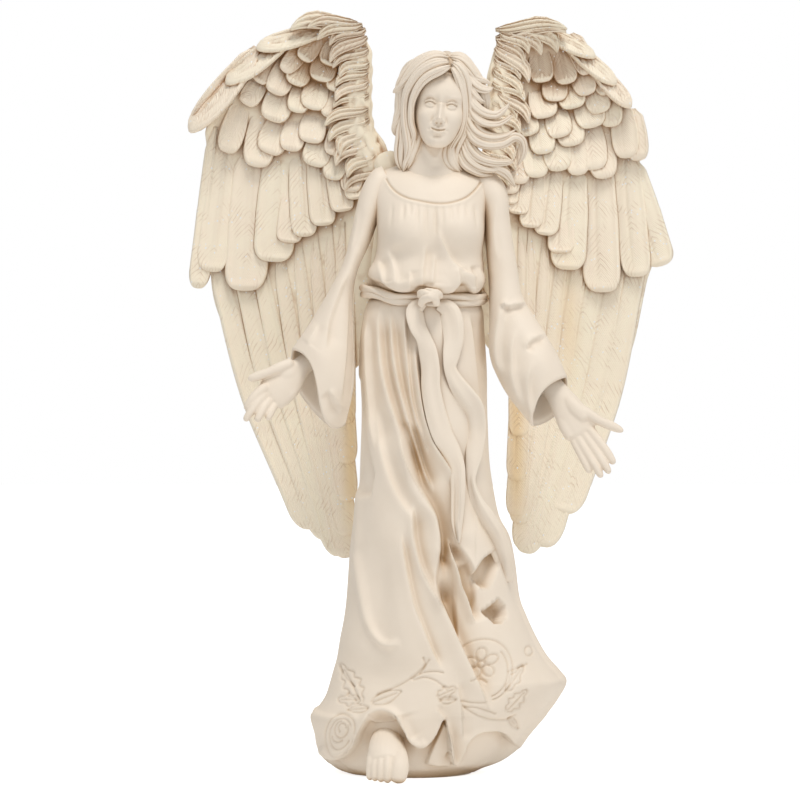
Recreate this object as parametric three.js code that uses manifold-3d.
// A cast resin angel figurine, about 305 mm tall, in millimetres with +Z up. It faces -Y and stands on a felt pad.
// The origin is on the underside of the pad, below the figure's head. Her right wing, arm and foot are on the -X side.
//
// She is glued together from castings that come out of separate moulds: skirt, bodice, head, hair, two sleeves,
// two hands, two wings, the pieces of the sash and one foot. A wooden dowel and steel pins hold the glued joints,
// and the hollow skirt is closed from below by a plug under the felt.

import * as THREE from 'three';
import { mergeVertices } from 'three/addons/utils/BufferGeometryUtils.js';
import Module from 'manifold-3d';

const wasm = await Module();
wasm.setup();

// ---- Driving dimensions ------------------------------------------------------------------------------------------

const GLUE_LINE = 0.3; // gap between two castings, filled by glue
const FELT = 1; // thickness of the felt pad
const WALL = 5; // least wall of the hollow skirt
const SASH_THICKNESS = 2; // how far the sash stands out of the gown
const FEATHER_HALF_DEPTH = 1.9; // half the thickness of one feather
const WAIST_DOWEL = { radius: 3, length: 24 };
const NECK_PIN = { radius: 1.5, length: 20 };
const WING_PIN = { radius: 1.5, length: 14 };
const WRIST_PIN = { radius: 0.8, length: 9 };
const SLIVER = 0.07; // details smaller than this are taken off each finished solid
const BORE_PLAY = 0.3; // how much wider than its pin a socket is, on the radius

// The front elevation is drawn as an eye sees it from straight ahead, with the table at height 4 on the drawing.
// Heights of parts that lie near the middle plane are therefore 4 mm more on the drawing than on the figure.
const EYE = new THREE.Vector3(-13.6, -1500, 148.8);
const TABLE_LINE = 4;

// Rows of the gown, from the hem up: drawn height, left and right edge, foremost and rearmost point.
const SKIRT = [
  [5.8, -37, 21, -30, 29],
  [12, -43, 29, -34, 32],
  [20, -47, 36, -35, 33],
  [28, -49, 43, -35, 33],
  [34, -45, 47, -34, 32],
  [41, -42, 50, -33, 31],
  [50, -40, 44, -31, 30],
  [62, -37, 37, -30, 28],
  [78, -35, 32, -28, 26],
  [94, -33, 31, -26, 24],
  [108, -32, 26, -25, 22],
  [128, -31, 22, -23, 20],
  [152, -30.5, 21.5, -21, 18],
  [175, -30, 20.5, -18, 15],
  [189, -27, 18.5, -15, 13],
  [196, -22, 15, -12, 11],
];
const BODICE = [
  [196.4, -21, 14, -12, 11],
  [199, -25, 18.5, -16, 12.5],
  [204, -26, 20, -18, 13],
  [211, -24, 20, -18.5, 13],
  [219, -22.5, 19.5, -18.5, 13],
  [228, -23, 20, -16.5, 13.5],
  [236, -25, 22, -13, 13.5],
  [242, -25, 22, -9, 12],
  [246, -18, 16, -5, 9],
];

// ---- Materials ---------------------------------------------------------------------------------------------------

const finish = (color, roughness, metalness = 0) =>
  new THREE.MeshStandardMaterial({ color, roughness, metalness });
const creamResin = finish('#efe2cc', 0.62);
const pearlResin = finish('#ecdcc6', 0.45, 0.05);
const steel = finish('#b8b8b4', 0.3, 1);
const beech = finish('#d8b88a', 0.7);
const felt = finish('#8a7c66', 0.95);

// ---- Making solids -----------------------------------------------------------------------------------------------

// A point of the front elevation, carried along the line of sight to its own depth y.
function seen(x, y, drawnZ) {
  const reach = 1 - y / EYE.y;
  const z = drawnZ - TABLE_LINE;
  return new THREE.Vector3(EYE.x + (x - EYE.x) * reach, y, EYE.z + (z - EYE.z) * reach);
}

// A closed three.js geometry as a solid, its faces turned outwards.
function solid(geometry) {
  geometry.deleteAttribute('normal');
  geometry.deleteAttribute('uv');
  const merged = mergeVertices(geometry, 1e-4);
  const triVerts = new Uint32Array(merged.index.array);
  const vertProperties = merged.attributes.position.array;
  const make = () => new wasm.Manifold(new wasm.Mesh({ numProp: 3, vertProperties, triVerts }));
  const made = make();
  if (made.volume() > 0) return made;
  triVerts.reverse();
  return make();
}

const joined = (solids) => solids.reduce((all, next) => all.add(next));

// A skin over a row of elliptical stations. Each has a centre and two half-axes, across and deep.
// round is the share of the length, at each end, over which the skin closes to a dome; fold changes the radius.
function skin(stations, sides, stacks, { round = [0, 0], fold = () => 1 } = {}) {
  const smooth = (key) => new THREE.CatmullRomCurve3(stations.map((s) => s[key]), false, 'catmullrom');
  const centre = smooth('centre');
  const across = smooth('across');
  const deep = smooth('deep');
  const dome = (share, along) => (along >= share ? 1 : Math.sqrt(1 - (0.9 * (1 - along / share)) ** 2));
  const geometry = new THREE.CylinderGeometry(1, 1, 1, sides, stacks);
  const position = geometry.attributes.position;
  for (let i = 0; i < position.count; i++) {
    const t = position.getY(i) + 0.5;
    const angle = Math.atan2(position.getZ(i), position.getX(i));
    const size = dome(round[0], t) * dome(round[1], 1 - t) * fold(angle, t);
    const point = centre
      .getPoint(t)
      .addScaledVector(across.getPoint(t), size * position.getX(i))
      .addScaledVector(deep.getPoint(t), size * position.getZ(i));
    position.setXYZ(i, point.x, point.y, point.z);
  }
  return solid(geometry);
}

// Stations of a gown row: level ellipses between a left and right edge and a front and back.
function gownStations(rows, grow = 0) {
  return rows.map(([height, left, right, front, back]) => ({
    centre: new THREE.Vector3((left + right) / 2, (front + back) / 2, height - TABLE_LINE),
    across: new THREE.Vector3((right - left) / 2 + grow, 0, 0),
    deep: new THREE.Vector3(0, (back - front) / 2 + grow, 0),
  }));
}

// A round limb, such as a finger or a lock of hair, through points [x, y, drawn height, half-width, half-depth].
function limb(points, sides, stacks, grow = 0, round = [0, 0.3]) {
  const path = points.map(([x, y, z]) => seen(x, y, z));
  const stations = points.map(([, , , halfWidth, halfDepth], i) => {
    const along = path[Math.min(i + 1, path.length - 1)].clone().sub(path[Math.max(i - 1, 0)]).normalize();
    const sideways = along.clone().cross(new THREE.Vector3(0, 1, 0)).normalize();
    return {
      centre: path[i],
      across: sideways.clone().multiplyScalar(halfWidth + grow),
      deep: sideways.cross(along).multiplyScalar(halfDepth + grow),
    };
  });
  return skin(stations, sides, stacks, { round });
}

// A straight pin, and the wider socket that is bored for it.
function pin({ radius, length }, middle, direction, play = 0) {
  const geometry = new THREE.CylinderGeometry(radius + play, radius + play, length + 2 * play, 12, 1);
  const turn = new THREE.Quaternion().setFromUnitVectors(new THREE.Vector3(0, 1, 0), direction.clone().normalize());
  return solid(geometry.applyQuaternion(turn).translate(middle.x, middle.y, middle.z));
}

const box = (low, high) => {
  const size = high.clone().sub(low);
  const middle = low.clone().add(high).multiplyScalar(0.5);
  return solid(new THREE.BoxGeometry(...size.toArray()).translate(...middle.toArray()));
};

function mesh(name, made, material) {
  const { vertProperties, triVerts } = made.simplify(SLIVER).getMesh();
  const geometry = new THREE.BufferGeometry();
  geometry.setAttribute('position', new THREE.BufferAttribute(vertProperties, 3));
  geometry.setIndex(new THREE.BufferAttribute(triVerts, 1));
  geometry.computeVertexNormals();
  const named = new THREE.Mesh(geometry, material);
  named.name = name;
  return named;
}

// ---- Gown --------------------------------------------------------------------------------------------------------

const PLEATS = 11;
const PLEAT_DEPTH = 0.045;

const skirtForm = (grow = 0) =>
  skin(gownStations(SKIRT, grow), 55, 16, {
    fold: (angle, t) => 1 + PLEAT_DEPTH * (1 - t) * Math.cos(PLEATS * angle),
  });

// The hollow inside the skirt, open at the hem and closed by a dome at three fifths of its height.
function skirtHollow() {
  const rows = SKIRT.filter(([height]) => height < 130).map(([height, left, right, front, back]) => [
    height,
    Math.max(left, -38) + 2 * WALL,
    Math.min(right, 34) - 2 * WALL,
    front + 2 * WALL,
    back - 2 * WALL,
  ]);
  rows[0][0] -= 1;
  return skin(gownStations(rows), 20, 6, { round: [0, 0.3] });
}

const bodiceForm = (grow = 0) => skin(gownStations(BODICE, grow), 28, 9);

// ---- Arms --------------------------------------------------------------------------------------------------------

// A sleeve is a row of stations between an outer and an inner edge point on the drawing:
// [outer x, outer height, inner x, inner height, depth y, half-depth]. The last one is the cuff.
const SLEEVES = {
  right: [
    [-26, 243, -19, 233, 1, 7],
    [-31, 231, -24.5, 227, 1, 7.5],
    [-34, 219, -27, 216, 0, 7.5],
    [-38.5, 207, -32, 203, -2, 7],
    [-43, 195, -33, 190, -5, 8],
    [-49, 185, -32.5, 173, -8, 10],
    [-53, 179, -34, 155, -11, 11],
    [-56.5, 174, -39, 140, -13, 9],
  ],
  left: [
    [24, 243, 16, 233, 1, 7],
    [30.5, 231, 20.5, 227, 1, 7.5],
    [31.5, 219, 21.5, 214, 0, 7.5],
    [33, 206, 22.5, 200, -2, 7],
    [35.5, 194, 23, 186, -5, 8],
    [42, 183, 23, 172, -8, 10],
    [48, 171, 28, 158, -11, 11],
    [52.5, 162.5, 40, 141.5, -13, 9],
  ],
};
const CUFF_WALL = 2;

function sleeveStations(rows, grow = 0) {
  return rows.map(([outerX, outerZ, innerX, innerZ, y, halfDepth]) => {
    const outer = seen(outerX, y, outerZ);
    const inner = seen(innerX, y, innerZ);
    const across = outer.clone().sub(inner).multiplyScalar(0.5);
    across.setLength(across.length() + grow);
    return {
      centre: outer.clone().add(inner).multiplyScalar(0.5),
      across,
      deep: new THREE.Vector3(0, halfDepth + grow, 0),
    };
  });
}

const sleeveForm = (side, grow = 0) => skin(sleeveStations(SLEEVES[side], grow), 20, 10);

// The open mouth of a bell sleeve: a shrunken copy of its last stretch, carried on past the cuff.
function cuffMouth(side) {
  const stations = sleeveStations(SLEEVES[side].slice(-3), -CUFF_WALL);
  const [, before, cuff] = stations;
  const beyond = cuff.centre.clone().multiplyScalar(1.6).addScaledVector(before.centre, -0.6);
  return skin([...stations.slice(1), { ...cuff, centre: beyond }], 16, 4);
}

// Hands: a forearm and palm [x, y, drawn height, half-width, half-depth], then a thumb and four fingers from
// knuckle to tip. The palms are open to the front.
const HANDS = {
  right: {
    palm: [
      [-46.5, -11, 172, 4.2, 3.8],
      [-53, -13, 166, 4.2, 3.5],
      [-59.5, -15.5, 159.5, 7, 3.6],
      [-65, -18, 153.5, 7, 2.6],
      [-67.5, -19, 151, 6, 2],
    ],
    fingers: [
      [[-57, -15, 167], [-65, -17, 164.5], [-74, -19, 161]],
      [[-68, -19, 156.5], [-72.5, -21, 153], [-76, -23, 148.5]],
      [[-66, -19, 154], [-71, -22, 149], [-75.5, -24, 144]],
      [[-64, -19, 152], [-68.5, -22, 147.5], [-71.5, -24, 144]],
      [[-62, -18, 150], [-65, -21, 147], [-67.5, -23, 144.5]],
    ],
  },
  left: {
    palm: [
      [42.5, -10, 166, 4.4, 3.8],
      [48, -13, 157, 4.6, 3.5],
      [55, -16, 147, 7.2, 3.6],
      [60, -18.5, 139, 7, 2.6],
      [61.5, -19.5, 136, 6, 2],
    ],
    fingers: [
      [[56, -17, 150], [66, -19, 144.5], [75, -21, 140.5]],
      [[64, -20, 138], [69, -22, 132], [72.5, -24, 126.5]],
      [[62, -20, 136], [67, -23, 129], [70.5, -25, 123]],
      [[60, -20, 134.5], [64, -23, 127], [67.5, -25, 121.5]],
      [[57.5, -19, 134], [60, -22, 128], [62.5, -24, 123]],
    ],
  },
};
const FINGER_RADII = [2.1, 1.8, 1.4];
const THUMB_RADII = [2.8, 2.1, 1.4];

function handForm(side, grow = 0) {
  const { palm, fingers } = HANDS[side];
  const digits = fingers.map((points, i) => {
    const radii = i === 0 ? THUMB_RADII : FINGER_RADII;
    return limb(points.map((point, k) => [...point, radii[k], radii[k]]), 8, 4, grow);
  });
  return joined([limb(palm, 12, 6, grow), ...digits]);
}

// ---- Head and hair -----------------------------------------------------------------------------------------------

// Level rows of the head from chin to crown: drawn height, half-width, front and back, about an axis that leans.
const HEAD = [
  [254, 3.2, -13.5, -5],
  [257, 6.2, -15.2, 1],
  [262.5, 8.4, -15.8, 7],
  [270, 10.2, -15.8, 11.5],
  [278, 10.8, -15, 13],
  [284, 9.6, -12, 11],
  [288, 6, -6, 7],
];
const HEAD_LEAN = Math.tan(THREE.MathUtils.degToRad(6));
const headAxis = (height) => 1 + (height - 252) * HEAD_LEAN;

const skullForm = (grow = 0) =>
  skin(
    HEAD.map(([height, halfWidth, front, back]) => ({
      centre: new THREE.Vector3(headAxis(height), (front + back) / 2, height - TABLE_LINE),
      across: new THREE.Vector3(halfWidth + grow, 0, 0),
      deep: new THREE.Vector3(0, (back - front) / 2 + grow, 0),
    })),
    24,
    12,
    { round: [0.05, 0.08] },
  );

// Neck and the part of the chest that the neckline leaves bare.
function neckForm(grow = 0) {
  const neck = limb([[0, 2, 238, 7.5, 6.5], [0.5, 1, 250, 6.2, 5.8], [1.5, 0, 263, 6.5, 6]], 16, 4, grow, [0, 0]);
  const chest = limb([[0, -4, 233, 7, 4], [0, -3, 238, 15, 6.5], [0, 0, 243, 15, 7.5], [0, 2, 248, 8, 6]], 20, 5, grow);
  return neck.add(chest);
}

const HAIR_CAP = { centre: [4, 1, 274], halfAxes: [15, 18, 18] };
const LOCKS = [
  // her right side, falling beside the neck
  [[-6, -6, 286, 4, 5], [-12, -6, 279, 4, 6], [-12.5, -4, 270, 3, 6], [-14, -2, 262, 3, 6], [-13.5, 0, 252, 3, 5], [-12, 3, 245, 2.5, 4]],
  // down the back
  [[4, 13, 285, 9, 5], [3, 16, 270, 13, 5], [0, 17, 256, 12, 4.5], [-1, 16, 246, 8, 3.5]],
  // her left side, blown out over the shoulder
  [[9, -8, 287, 3.5, 5], [15, -8, 280, 3.5, 5], [22, -6, 277, 2, 3]],
  [[14, -3, 277, 4, 6], [19, -4, 268, 4, 5], [26, -3, 266.5, 4, 4], [31, -1, 263, 2.5, 3]],
  [[13, 2, 266, 5, 6], [19, -1, 257, 3.5, 5], [27, -2, 255, 3, 4], [34, 0, 251, 2.5, 3]],
  [[11, 6, 258, 5, 5], [15, 2, 248, 3, 5], [22, -1, 245.5, 2.6, 4], [29, -1, 246, 2, 3]],
];

function hairForm() {
  const [x, y, z] = HAIR_CAP.centre;
  const middle = seen(x, y, z);
  const cap = solid(new THREE.SphereGeometry(1, 16, 11).scale(...HAIR_CAP.halfAxes).translate(...middle.toArray()));
  const face = box(new THREE.Vector3(-7.5, -40, 240), new THREE.Vector3(12, -6, 279.5));
  return joined([cap.subtract(face), ...LOCKS.map((points) => limb(points, 8, 7, 0, [0.15, 0.3]))]);
}

// ---- Wings -------------------------------------------------------------------------------------------------------

// Each layer of a wing is a row of feathers between two lines on the drawing, one through the roots and one through
// the tips. half is a feather's half-width, bow pushes its middle outwards, and rise brings the layer forwards.
const WINGS = {
  right: {
    sign: -1,
    arm: [
      [-13, 232, 5, 4],
      [-20, 243, 7, 5],
      [-26, 256, 7, 6],
      [-29.5, 272, 7, 7],
      [-31, 287, 8, 7],
      [-38, 299, 7, 6],
      [-48, 302, 4.5, 4.5],
      [-57, 303.5, 2.5, 3],
    ],
    layers: [
      { roots: [[-84, 232], [-66, 228], [-42, 222]], tips: [[-50, 108], [-40, 96], [-38, 104]], count: 4, half: 9, bow: 7, rise: -2.4 },
      { roots: [[-84, 264], [-66, 270], [-34, 262]], tips: [[-91, 203], [-74, 201], [-42, 226]], count: 5, half: 6.5, bow: 1, rise: 0 },
      { roots: [[-54, 294], [-66, 280], [-80, 268]], tips: [[-64, 291], [-79, 279], [-92, 261]], count: 3, half: 5.5, bow: 0, rise: 0.8 },
      { roots: [[-60, 290], [-46, 288], [-32, 276]], tips: [[-80, 257], [-62, 252], [-40, 242]], count: 4, half: 8, bow: 2, rise: 2 },
      { roots: [[-46, 299], [-32, 294]], tips: [[-58, 274], [-42, 266]], count: 2, half: 9, bow: 1, rise: 3.2 },
    ],
  },
  left: {
    sign: 1,
    arm: [
      [13, 232, 5, 4],
      [20, 243, 7, 5],
      [25.5, 256, 7, 6],
      [28, 272, 7, 7],
      [29.5, 285, 8, 7],
      [35, 296, 7, 6],
      [44, 300, 4.5, 4.5],
      [52, 301.5, 2.8, 3],
    ],
    layers: [
      { roots: [[80, 232], [62, 228], [41, 222]], tips: [[51, 113], [41, 98], [35, 108]], count: 4, half: 9, bow: 8, rise: -2.4 },
      { roots: [[76, 262], [60, 268], [32, 260]], tips: [[90, 211], [74, 203], [42, 224]], count: 5, half: 6.5, bow: 1, rise: 0 },
      { roots: [[50, 292], [60, 280], [70, 270]], tips: [[60, 290], [74, 276], [82, 254]], count: 3, half: 5.5, bow: 0, rise: 0.8 },
      { roots: [[56, 288], [44, 286], [30, 274]], tips: [[76, 254], [62, 248], [42, 246]], count: 4, half: 8, bow: 2, rise: 2 },
      { roots: [[44, 297], [30, 292]], tips: [[56, 272], [42, 266]], count: 2, half: 9, bow: 1, rise: 3.2 },
    ],
  },
};

// The wings curve back from the shoulders like shallow dishes; this is the depth y of their middle layer.
const DISH = { near: 14, depth: 22, from: 12, span: 150 };
function dish(x) {
  const share = THREE.MathUtils.clamp((Math.abs(x) - DISH.from) / DISH.span, 0, 1);
  return DISH.near + DISH.depth * Math.sin(Math.PI * share);
}

function feather([rootX, rootZ], [tipX, tipZ], { half, bow, rise }, sign) {
  const along = new THREE.Vector2(tipX - rootX, tipZ - rootZ);
  const sideways = new THREE.Vector2(-along.y, along.x).normalize();
  if (sideways.x * sign < 0) sideways.negate();
  const points = [0, 0.3, 0.6, 0.85, 1].map((t) => {
    const swell = bow * 4 * t * (1 - t);
    const x = rootX + along.x * t + sideways.x * swell;
    const z = rootZ + along.y * t + sideways.y * swell;
    return [x, dish(x) - rise, z, half * (0.8 + 0.2 * Math.sin(Math.PI * t)), FEATHER_HALF_DEPTH];
  });
  return limb(points, 6, 4, 0, [0, 0.2]);
}

function wingForm(side) {
  const { sign, arm, layers } = WINGS[side];
  const rows = layers.flatMap((layer) => {
    const line = (points) => new THREE.SplineCurve(points.map(([x, z]) => new THREE.Vector2(x, z)));
    const roots = line(layer.roots);
    const tips = line(layer.tips);
    return Array.from({ length: layer.count }, (_, i) => {
      const t = i / (layer.count - 1);
      return feather(roots.getPoint(t).toArray(), tips.getPoint(t).toArray(), layer, sign);
    });
  });
  const shoulder = limb(arm.map(([x, z, halfWidth, halfDepth]) => [x, dish(x), z, halfWidth, halfDepth]), 8, 9);
  return joined([shoulder, ...rows]);
}

// Two pins hold each wing to the back of the bodice.
const WING_PIN_SEATS = { upper: [14, 14, 234.5], lower: [14, 14, 227] };
const WING_PIN_LINE = new THREE.Vector3(0, 1, 0);
const wingPin = (side, seat, play = 0) => {
  const [x, y, z] = WING_PIN_SEATS[seat];
  return pin(WING_PIN, seen(WINGS[side].sign * x, y, z), WING_PIN_LINE, play);
};

// ---- Sash, foot and base -----------------------------------------------------------------------------------------

// The depth of the gown's front at a point of the drawing, from the rows of the skirt.
function skirtFront(x, drawnZ) {
  const above = Math.max(1, SKIRT.findIndex(([height]) => height >= drawnZ));
  const [low, high] = [SKIRT[above - 1], SKIRT[above]];
  const share = (drawnZ - low[0]) / (high[0] - low[0]);
  const [, left, right, front, back] = low.map((value, k) => THREE.MathUtils.lerp(value, high[k], share));
  const offset = (x - (left + right) / 2) / ((right - left) / 2);
  return (front + back) / 2 - ((back - front) / 2) * Math.sqrt(Math.max(0, 1 - offset * offset));
}

// The tails hang from the knot: [x, drawn height, half-width] down the middle of each ribbon.
const SASH_TAILS = {
  right: [[-6, 189, 3], [-8.5, 182, 3], [-5.5, 174, 2.6], [-5, 162, 3.2], [-3, 148, 3.2], [2, 138, 3.2], [8, 129, 3], [9.5, 118, 2.4], [9.5, 106, 1.8]],
  left: [[4, 189, 3], [9, 182, 3.4], [8, 170, 3.2], [12, 158, 3], [18.5, 150, 2.6], [17, 136, 2.6], [14.5, 124, 2.4], [19, 110, 2.6], [26, 99, 2.6], [29, 88, 2.4]],
};
const SASH_LIFT = 2.4; // how far the middle of a tail stands off the gown
const SASH_BAND = { bottom: 185, top: 191.5 };
const SASH_KNOT = { centre: [-1.5, -18.5, 187.5], halfAxes: [4.6, 3, 3.6] };

function sashTail(side, grow = 0) {
  const points = SASH_TAILS[side].map(([x, z, halfWidth]) => [x, skirtFront(x, z) - SASH_LIFT, z, halfWidth, 1]);
  return limb(points, 8, 14, grow, [0, 0.08]);
}

function sashBand(grow = 0) {
  const { bottom, top } = SASH_BAND;
  const level = box(new THREE.Vector3(-60, -60, bottom - grow), new THREE.Vector3(60, 60, top + grow));
  return skirtForm(SASH_THICKNESS + grow).intersect(level);
}

function knotForm(grow = 0) {
  const halfAxes = SASH_KNOT.halfAxes.map((half) => half + grow);
  return solid(new THREE.SphereGeometry(1, 12, 8).scale(...halfAxes).translate(...SASH_KNOT.centre));
}

// The bare front of the right foot, [x, y, drawn height, half-width, half-depth], and its toes, little toe first.
const FOOT = [[-17, -20, 15.5, 6.5, 6], [-18, -31, 14, 7, 6], [-19, -42, 9.5, 7.5, 4]];
const TOES = [
  { x: -25.2, y: -41.5, radius: 1.9 },
  { x: -22.5, y: -42.2, radius: 1.9 },
  { x: -19.8, y: -42.9, radius: 1.9 },
  { x: -17.1, y: -43.6, radius: 1.9 },
  { x: -13.4, y: -44.3, radius: 2.9 },
];
const TOE_LIFT = 0.6; // the sole's height above the table under the toes
const footBlock = (grow = 0) => limb(FOOT, 14, 5, grow, [0, 0.2]);

function footForm() {
  const toes = TOES.map(({ x, y, radius }) =>
    solid(new THREE.SphereGeometry(radius, 8, 6).translate(x, y, radius + TOE_LIFT)),
  );
  return joined([footBlock(), ...toes]);
}

// The base: a plug that closes the hollow, and the felt pad that it all stands on.
function levelOutline(inset, thickness, bottom) {
  const [, left, right, front, back] = SKIRT[0];
  const shape = new THREE.Shape();
  const middle = [(left + right) / 2, (front + back) / 2];
  shape.absellipse(...middle, (right - left) / 2 - inset, (back - front) / 2 - inset, 0, 2 * Math.PI);
  const geometry = new THREE.ExtrudeGeometry(shape, { depth: thickness, bevelEnabled: false, curveSegments: 16 });
  return solid(geometry.translate(0, 0, bottom));
}
const PLUG_THICKNESS = 3;
const PLUG_INSET = 2 * WALL + GLUE_LINE + 1;
const PAD_INSET = 6;

// ---- Assembly ----------------------------------------------------------------------------------------------------

const WAIST_MIDDLE = new THREE.Vector3(-3, -0.5, 192);
const NECK_MIDDLE = new THREE.Vector3(0, 1, 233);
const UP = new THREE.Vector3(0, 0, 1);
const waistDowel = (play = 0) => pin(WAIST_DOWEL, WAIST_MIDDLE, UP, play);
const neckPin = (play = 0) => pin(NECK_PIN, NECK_MIDDLE, UP, play);
const wristPin = (side, play = 0) => {
  const [first, second] = HANDS[side].palm.map(([x, y, z]) => seen(x, y, z));
  return pin(WRIST_PIN, first, second.clone().sub(first), play);
};

const sides = ['right', 'left'];
const handGrown = Object.fromEntries(sides.map((side) => [side, handForm(side, GLUE_LINE)]));
const sleeves = Object.fromEntries(
  sides.map((side) => {
    const made = sleeveForm(side).subtract(cuffMouth(side)).subtract(handGrown[side]);
    return [side, made.subtract(bodiceForm(GLUE_LINE)).subtract(wristPin(side, BORE_PLAY))];
  }),
);
const band = sashBand().subtract(skirtForm(GLUE_LINE)).subtract(knotForm(GLUE_LINE));
const underTails = skirtForm(GLUE_LINE).add(knotForm(GLUE_LINE)).add(sashBand(GLUE_LINE));
const tails = { right: sashTail('right').subtract(underTails) };
tails.left = sashTail('left').subtract(underTails).subtract(sashTail('right', GLUE_LINE));

const skirt = skirtForm()
  .subtract(skirtHollow())
  .subtract(footBlock(GLUE_LINE))
  .subtract(waistDowel(BORE_PLAY));
const bodice = bodiceForm()
  .subtract(neckForm(GLUE_LINE))
  .subtract(waistDowel(BORE_PLAY))
  .subtract(neckPin(BORE_PLAY));
const head = skullForm().add(neckForm()).subtract(neckPin(BORE_PLAY));
const hair = hairForm()
  .subtract(skullForm(GLUE_LINE))
  .subtract(neckForm(GLUE_LINE))
  .subtract(bodiceForm(GLUE_LINE))
  .subtract(sleeveForm('left', GLUE_LINE))
  .subtract(sleeveForm('right', GLUE_LINE));

const largest = (made) => made.decompose().reduce((a, b) => (a.volume() > b.volume() ? a : b));

const figurine = new THREE.Group();
const add = (name, made, material = creamResin) => figurine.add(mesh(name, largest(made), material));

const seats = ['upper', 'lower'];
const boredForWings = sides
  .flatMap((side) => seats.map((seat) => wingPin(side, seat, BORE_PLAY)))
  .reduce((made, bore) => made.subtract(bore), bodice);
add('gown_skirt', skirt);
add('gown_bodice', boredForWings);
add('head', head);
add('hair', hair);
add('sash_band', band);
add('sash_knot', knotForm().subtract(skirtForm(GLUE_LINE)));
add('right_foot', footForm());
for (const side of sides) {
  const bodiceGrown = bodiceForm(GLUE_LINE);
  const sleeveGrown = sleeveForm(side, GLUE_LINE);
  const wing = seats
    .map((seat) => wingPin(side, seat, BORE_PLAY))
    .reduce((made, bore) => made.subtract(bore), wingForm(side));
  const clearOfHair = wing.subtract(hairForm());
  add(`${side}_wing`, clearOfHair.subtract(bodiceGrown).subtract(sleeveGrown), pearlResin);
  add(`${side}_sleeve`, sleeves[side]);
  add(`${side}_hand`, handForm(side).subtract(wristPin(side, BORE_PLAY)));
  add(`${side}_sash_tail`, tails[side]);
  add(`${side}_wrist_pin`, wristPin(side), steel);
  for (const seat of seats) add(`${side}_wing_pin_${seat}`, wingPin(side, seat), steel);
}
add('waist_dowel', waistDowel(), beech);
add('neck_pin', neckPin(), steel);
add('base_plug', levelOutline(PLUG_INSET, PLUG_THICKNESS, FELT + GLUE_LINE));
add('felt_pad', levelOutline(PAD_INSET, FELT, 0), felt);

export default figurine;
